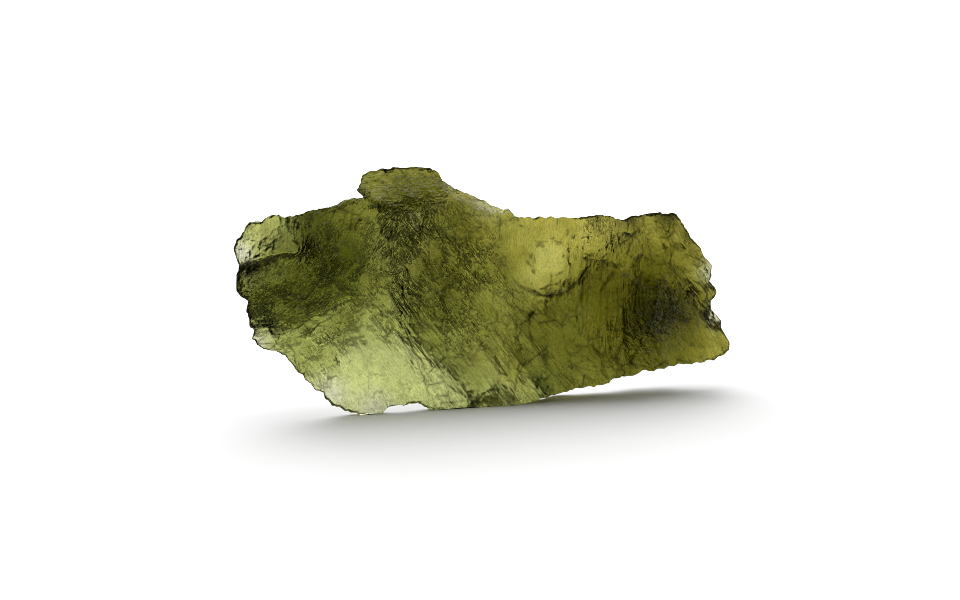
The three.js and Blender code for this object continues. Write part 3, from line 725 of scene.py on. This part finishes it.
def strands(bench, millimetres):
    """Noise drawn out along the local grain, one value for each size of strand.

    Each is the sum of the noises drawn out in the four directions, times how much each direction counts.
    """
    grains = []
    for length, width, detail in STRANDS:
        grain = 0.0
        for name, degrees in GRAIN_LEANS.items():
            turned = bench.add("ShaderNodeMapping", {
                "Vector": millimetres, "Rotation": (0, math.radians(-degrees), 0),
                "Scale": (length, width, width),
            }, vector_type="TEXTURE").outputs[0]
            noise = bench.noise(turned, 1.0, detail, STRAND_ROUGH)
            grain = bench.math("MULTIPLY_ADD", noise, bench.attribute(name), grain)
        grains.append(grain)
    return grains


def patchiness(bench, millimetres, etched):
    """How strongly the strands show: by a broad noise, more where craggy and less where smooth."""
    patchy = bench.ramp(bench.noise(millimetres, *PATCHY_NOISE), *PATCHY_FADE)
    patchy = bench.times(patchy, etched)
    return bench.times(patchy, bench.math("MULTIPLY_ADD", bench.attribute("craggy"), *CRAGGY_GAIN))


def clearness(bench, millimetres, etched, grains, patchy):
    """How clear the skin is, from 0 to 1: what the painted shade of folds, creases and one side of the middle
    strands, the dull marks and the dust leave.
    """
    # Painted shade in the folds of the strands
    fold_shade = 0.0
    for grain, half in zip(grains, FOLD_HALVES):
        off = bench.math("ABSOLUTE", bench.math("SUBTRACT", grain, FOLD_VALUE))
        fold_shade = bench.math("MAXIMUM", fold_shade, bench.ramp(off, FOLD_CORE, half, 1.0, 0.0))
    # Painted shade from the folds and the crease lines
    painted_shade = bench.math("MAXIMUM", bench.times(fold_shade, patchy), bench.attribute("crease_shade"))
    dull = bench.times(bench.ramp(grains[2], *DULL_FADE), bench.math("MAXIMUM", patchy, DULL_LEAST))
    # Painted shade: one side of each middle strand darker, as if lit from the other
    embossed_shade = bench.times(bench.ramp(grains[1], *EMBOSS_SHADE_FADE), patchy)
    clear = bench.times(bench.rest(embossed_shade), bench.rest(dull))
    clear = bench.times(clear, bench.rest(painted_shade), clamp=True)
    dust = bench.ramp(bench.noise(millimetres, *DUST_NOISE), *DUST_FADE)
    dust = bench.times(dust, bench.times(bench.attribute("speckled"), etched))
    return bench.times(clear, bench.rest(dust))


def skin_tint(bench, finish, clear):
    """The skin's colour: by how warm it is, then deeper or paler by place, with painted shade along dark rims
    and painted highlights at pale tips and rims, and darkened where painted shade, dull marks and dust make
    it less clear.
    """
    colour = bench.blend(bench.attribute("warm"), (*finish.skin_colour, 1.0), (*finish.warm_colour, 1.0))
    # The glass's deeper tone, and painted shade along dark rims
    deep_and_shade_share = bench.times(bench.attribute("tone_and_painted_light"), -1.0, clamp=True)
    colour = bench.blend(deep_and_shade_share, colour, (*finish.deep_and_shade_colour, 1.0))
    # The glass's paler tone, and painted highlights at pale tips and rims
    pale_and_highlight_share = bench.times(bench.attribute("tone_and_painted_light"), 1.0, clamp=True)
    colour = bench.blend(pale_and_highlight_share, colour, (*finish.pale_and_highlight_colour, 1.0))
    # Painted shade, dull marks and dust take the skin towards this colour
    return bench.blend(clear, (*finish.shade_and_speck_colour, 1.0), colour)


def skin_roughness(bench, millimetres, finish):
    """Polished to etched by a noise, sharper in the craggy places and behind."""
    polish = bench.noise(millimetres, *POLISH_NOISE)
    rough = bench.ramp(polish, *POLISH_FADE, finish.roughness_low, finish.roughness_high)
    rough = bench.math("MULTIPLY_ADD", bench.attribute("craggy"), -finish.craggy_polish, rough)
    behind = bench.rest(bench.attribute("front"))
    return bench.math("MULTIPLY_ADD", behind, finish.roughness_back - finish.roughness_high, rough)


def moldavite_glass(finish):
    """Olive glass: clear to rough refraction, even absorption inside, and fine grain in the skin."""
    material = bpy.data.materials.new("moldavite_glass")
    material.use_nodes = True
    tree = material.node_tree
    tree.nodes.clear()
    bench = NodeBench(tree)
    place_on = bench.add("ShaderNodeTexCoord").outputs["Object"]
    millimetres = bench.add("ShaderNodeMapping", {"Vector": place_on, "Scale": (1 / MM,) * 3}).outputs[0]
    etched = bench.rest(bench.attribute("smooth"))
    grains = strands(bench, millimetres)
    patchy = patchiness(bench, millimetres, etched)
    clear = clearness(bench, millimetres, etched, grains, patchy)
    height = bench.math("MULTIPLY_ADD", grains[1], STRAND_MIX, grains[0])
    bump = bench.add("ShaderNodeBump", {
        "Height": bench.times(height, patchy),
        "Strength": finish.grain_strength,
        "Distance": finish.grain_depth,
    })
    shader = bench.add("ShaderNodeBsdfPrincipled", {
        "Base Color": skin_tint(bench, finish, clear),
        "Roughness": skin_roughness(bench, millimetres, finish),
        "IOR": finish.ior,
        "Transmission Weight": 1.0,
        "Specular Tint": (*finish.gloss_colour, 1.0),
        "Normal": bump.outputs["Normal"],
    })
    inside = bench.add("ShaderNodeVolumeAbsorption", {
        "Color": (*finish.glass_colour, 1.0), "Density": finish.glass_density,
    })
    output = bench.add("ShaderNodeOutputMaterial")
    tree.links.new(shader.outputs["BSDF"], output.inputs["Surface"])
    tree.links.new(inside.outputs["Volume"], output.inputs["Volume"])
    return material


def plain_material(name, colour, roughness):
    """An even matt finish for the floor."""
    material = bpy.data.materials.new(name)
    material.use_nodes = True
    shader = material.node_tree.nodes["Principled BSDF"]
    shader.inputs["Base Color"].default_value = (*colour, 1.0)
    shader.inputs["Roughness"].default_value = roughness
    shader.inputs["Specular IOR Level"].default_value = FLOOR_GLOSS
    return material


def colour_setting(name, description, default):
    """A colour setting."""
    return FloatVectorProperty(
        name=name, description=description, default=default, subtype="COLOR", size=3, min=0, max=1)


def share_setting(name, description, default):
    """A setting from 0 to 1."""
    return FloatProperty(name=name, description=description, default=default, min=0, max=1)


def length_setting(name, description, default, least=0.0):
    """A setting in metres."""
    return FloatProperty(name=name, description=description, default=default, min=least, unit="LENGTH")


class StoneShape(bpy.types.PropertyGroup):
    columns: IntProperty(
        name="Columns", description="Steps of the skin along the stone", default=436, min=40)
    front_rows: IntProperty(
        name="Front rows", description="Steps from the spine to the rim in front", default=74, min=8)
    back_rows: IntProperty(
        name="Back rows", description="Steps from the spine to the rim behind", default=36, min=8)
    pit_scale: FloatProperty(
        name="Pit depth", description="Depth of the etched pits, as a share of the real stone's",
        default=1.0, min=0.0, max=2.0)


class GlassFinish(bpy.types.PropertyGroup):
    glass_colour: colour_setting("Glass colour", "Light that the glass lets through", (0.523, 0.537, 0.185))
    glass_density: FloatProperty(
        name="Glass density", description="Strength of the absorption, per metre", default=1190.0, min=0)
    skin_colour: colour_setting(
        "Skin colour", "Tint of the light that crosses the skin", (0.82, 0.885, 0.385))
    warm_colour: colour_setting(
        "Warm skin colour", "Tint of the skin towards the right end", (0.765, 0.685, 0.178))
    # Colour of the deeper glass and of the painted shade along dark rims
    deep_and_shade_colour: colour_setting(
        "Deep skin colour", "Tint of the skin where the glass is deep", (0.08, 0.08, 0.02))
    # Colour of the paler glass and of the painted highlights at pale tips and rims
    pale_and_highlight_colour: colour_setting(
        "Pale skin colour", "Tint of the skin where the glass is pale", (1.0, 1.0, 0.85))
    # Colour of the painted shade in creases, grooves and folds, and of the dull marks and dust
    shade_and_speck_colour: colour_setting("Crease colour", "Tint of the skin in its creases", (0.022, 0.024, 0.008))
    gloss_colour: colour_setting("Gloss colour", "Tint of the reflections off the skin", (0.1, 0.1, 0.045))
    ior: FloatProperty(
        name="Refractive index", description="How strongly the glass bends light",
        default=1.49, min=1.0, max=2.0)
    roughness_low: share_setting("Polished roughness", "Roughness of the polished places", 0.28)
    roughness_high: share_setting("Etched roughness", "Roughness of the etched places", 0.32)
    craggy_polish: share_setting("Craggy polish", "How much less rough the craggy places are", 0.12)
    roughness_back: share_setting("Back roughness", "Roughness of the back", 0.12)
    grain_strength: share_setting("Grain strength", "Strength of the finest grain", 1.0)
    grain_depth: length_setting("Grain depth", "Depth of the finest grain", 0.00066)


class StageSettings(bpy.types.PropertyGroup):
    floor_colour: colour_setting("Floor colour", "Colour of the floor", (0.92, 0.92, 0.92))
    floor_radius: length_setting("Floor radius", "Radius of the round floor", 1.5, 0.1)
    back_light: FloatProperty(
        name="Back light", description="Brightness of the studio behind and above", default=0.56)
    lamp_power: FloatProperty(
        name="Lamp power", description="Power of the soft lamp overhead", default=5.4, min=0, unit="POWER")
    lamp_size: length_setting("Lamp size", "Side of the soft lamp", 0.8, 0.01)
    front_light: FloatProperty(
        name="Front light", description="Brightness of the studio on the viewer's side", default=0.05)
    camera_distance: length_setting("Camera distance", "Distance from the stone to the camera", 0.4, 0.05)
    camera_lens: FloatProperty(
        name="Lens", description="Focal length in millimetres", default=180.0, min=20)


class MOLDAVITE_OT_stone(bpy.types.Operator):
    """Build the stone as one closed skin and give it its glass"""
    bl_idname = "moldavite.stone"
    bl_label = "Stone"

    def execute(self, context):
        shape = context.scene.moldavite_shape
        points, x, z, is_front = stone_skin(shape.columns, shape.front_rows, shape.back_rows, shape.pit_scale)
        columns, loop = x.shape
        points = points.reshape(-1, 3)
        low, high = points.min(axis=0), points.max(axis=0)
        foot = np.array([(low[0] + high[0]) / 2, (low[1] + high[1]) / 2, low[2]])
        context.scene["foot_mm"] = foot.tolist()
        attributes = {
            "smooth": np.where(is_front, smoothness(x, z), BACK_SMOOTH),
            "front": np.broadcast_to(is_front * 1.0, x.shape),
            # Painted shade: dark lines in the creases and grooves of the front
            "crease_shade": painted_crease_shade(x, z) * is_front,
            "speckled": strongest(x, z, SPECKLED_PATCHES) * is_front,
            "craggy": strongest(x, z, CRAGGY_PATCHES) * is_front,
            "warm": warmth(x, z),
            # Deeper and paler colour: partly the glass's own tone, partly painted shade along dark rims and
            # painted highlights at pale tips and rims
            "tone_and_painted_light": tones_and_painted_light(x, z),
        }
        attributes.update(zip(GRAIN_LEANS, grain_weights(x, z)))
        quads = skin_faces(columns - 1, loop)
        stone = solid_object("moldavite_stone", (points - foot) * MM + STONE_FOOT, quads, attributes)
        stone.data.materials.append(moldavite_glass(context.scene.moldavite_glass))
        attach(stone, "root")
        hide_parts(STONE)
        return {"FINISHED"}


class MOLDAVITE_OT_stage(bpy.types.Operator):
    """Lay the floor, light the studio and set the camera"""
    bl_idname = "moldavite.stage"
    bl_label = "Floor, light and camera"

    def execute(self, context):
        stage = context.scene.moldavite_stage
        lay_floor(stage)
        light_studio(context.scene, stage)
        set_camera(context.scene, stage)
        return {"FINISHED"}


def lay_floor(stage):
    """A round flat floor under the stone."""
    turn = np.linspace(0, 2 * math.pi, FLOOR_CORNERS, endpoint=False)
    ring = np.stack([np.cos(turn), np.sin(turn), np.zeros(FLOOR_CORNERS)], axis=1) * stage.floor_radius
    mesh = bpy.data.meshes.new("floor")
    mesh.from_pydata(ring.tolist(), [], [list(range(FLOOR_CORNERS))])
    mesh.materials.append(plain_material("floor_paper", stage.floor_colour, FLOOR_ROUGHNESS))
    floor = bpy.data.objects.new("floor", mesh)
    floor.location.z = -FLOOR_DROP
    bpy.context.scene.collection.objects.link(floor)


def light_studio(scene, stage):
    """A studio that is bright behind and above the stone and dim in front. The camera sees it as white."""
    world = bpy.data.worlds.new("studio")
    world.use_nodes = True
    world.node_tree.nodes.clear()
    bench = NodeBench(world.node_tree)
    toward = bench.add("ShaderNodeTexCoord").outputs["Generated"]
    split = bench.add("ShaderNodeSeparateXYZ", {"Vector": toward})
    back = bench.math("MULTIPLY_ADD", split.outputs["Z"], STUDIO_RISE, split.outputs["Y"])
    level = bench.ramp(back, *STUDIO_BLEND, stage.front_light, stage.back_light)
    seen = bench.add("ShaderNodeLightPath").outputs["Is Camera Ray"]
    level = bench.math("MAXIMUM", level, bench.times(seen, BACKDROP))
    light = bench.add("ShaderNodeBackground", {"Color": (1.0, 1.0, 1.0, 1.0), "Strength": level})
    output = bench.add("ShaderNodeOutputWorld")
    world.node_tree.links.new(light.outputs["Background"], output.inputs["Surface"])
    scene.world = world
    data = bpy.data.lights.new("lamp", "AREA")
    data.energy = stage.lamp_power
    data.size = stage.lamp_size
    lamp = bpy.data.objects.new("lamp", data)
    lamp.location = LAMP_PLACE
    lamp.rotation_euler = (-Vector(LAMP_PLACE)).to_track_quat("-Z", "Y").to_euler()
    scene.collection.objects.link(lamp)
    scene.view_settings.view_transform = "Standard"
    scene.cycles.max_bounces = 24
    scene.cycles.transmission_bounces = 24
    scene.cycles.diffuse_bounces = 3
    scene.cycles.glossy_bounces = 8
    scene.cycles.filter_width = 0.8
    scene.cycles.denoising_prefilter = "NONE"


def set_camera(scene, stage):
    """A long lens square to the face plane."""
    foot = np.array(scene["foot_mm"])
    aim = (place(np.array(AIM[0]), np.array(AIM[1]), np.array(0.0)) - foot) * MM + STONE_FOOT
    level = math.cos(FACE_TILT)
    away = np.array([level * math.sin(FACE_TURN), level * math.cos(FACE_TURN), -math.sin(FACE_TILT)])
    data = bpy.data.cameras.new("camera")
    data.lens = stage.camera_lens
    data.sensor_width = 36
    data.clip_start = 0.01
    camera = bpy.data.objects.new("camera", data)
    camera.location = Vector(aim - away * stage.camera_distance)
    camera.rotation_euler = Vector(away).to_track_quat("-Z", "Y").to_euler()
    scene.collection.objects.link(camera)
    scene.camera = camera


class MOLDAVITE_PT_panel(bpy.types.Panel):
    """Sizes, finish and stage of the stone"""
    bl_label = "Moldavite"
    bl_idname = "MOLDAVITE_PT_panel"
    bl_space_type = "VIEW_3D"
    bl_region_type = "UI"
    bl_category = "Moldavite"

    def draw(self, context):
        for title, group in GROUPS.items():
            box = self.layout.box()
            for name in group.__annotations__:
                box.prop(getattr(context.scene, title), name)
        for step in STEPS:
            self.layout.operator(step.bl_idname)


STEPS = (MOLDAVITE_OT_stone, MOLDAVITE_OT_stage)
GROUPS = {"moldavite_shape": StoneShape, "moldavite_glass": GlassFinish, "moldavite_stage": StageSettings}
CLASSES = (*GROUPS.values(), *STEPS, MOLDAVITE_PT_panel)


def register():
    for item in CLASSES:
        bpy.utils.register_class(item)
    for name, group in GROUPS.items():
        setattr(bpy.types.Scene, name, PointerProperty(type=group))


def unregister():
    for name in GROUPS:
        delattr(bpy.types.Scene, name)
    for item in reversed(CLASSES):
        bpy.utils.unregister_class(item)


def main():
    """Registers the add-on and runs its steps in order."""
    register()
    bpy.ops.moldavite.stone()
    bpy.ops.moldavite.stage()


if __name__ == "__main__":
    main()
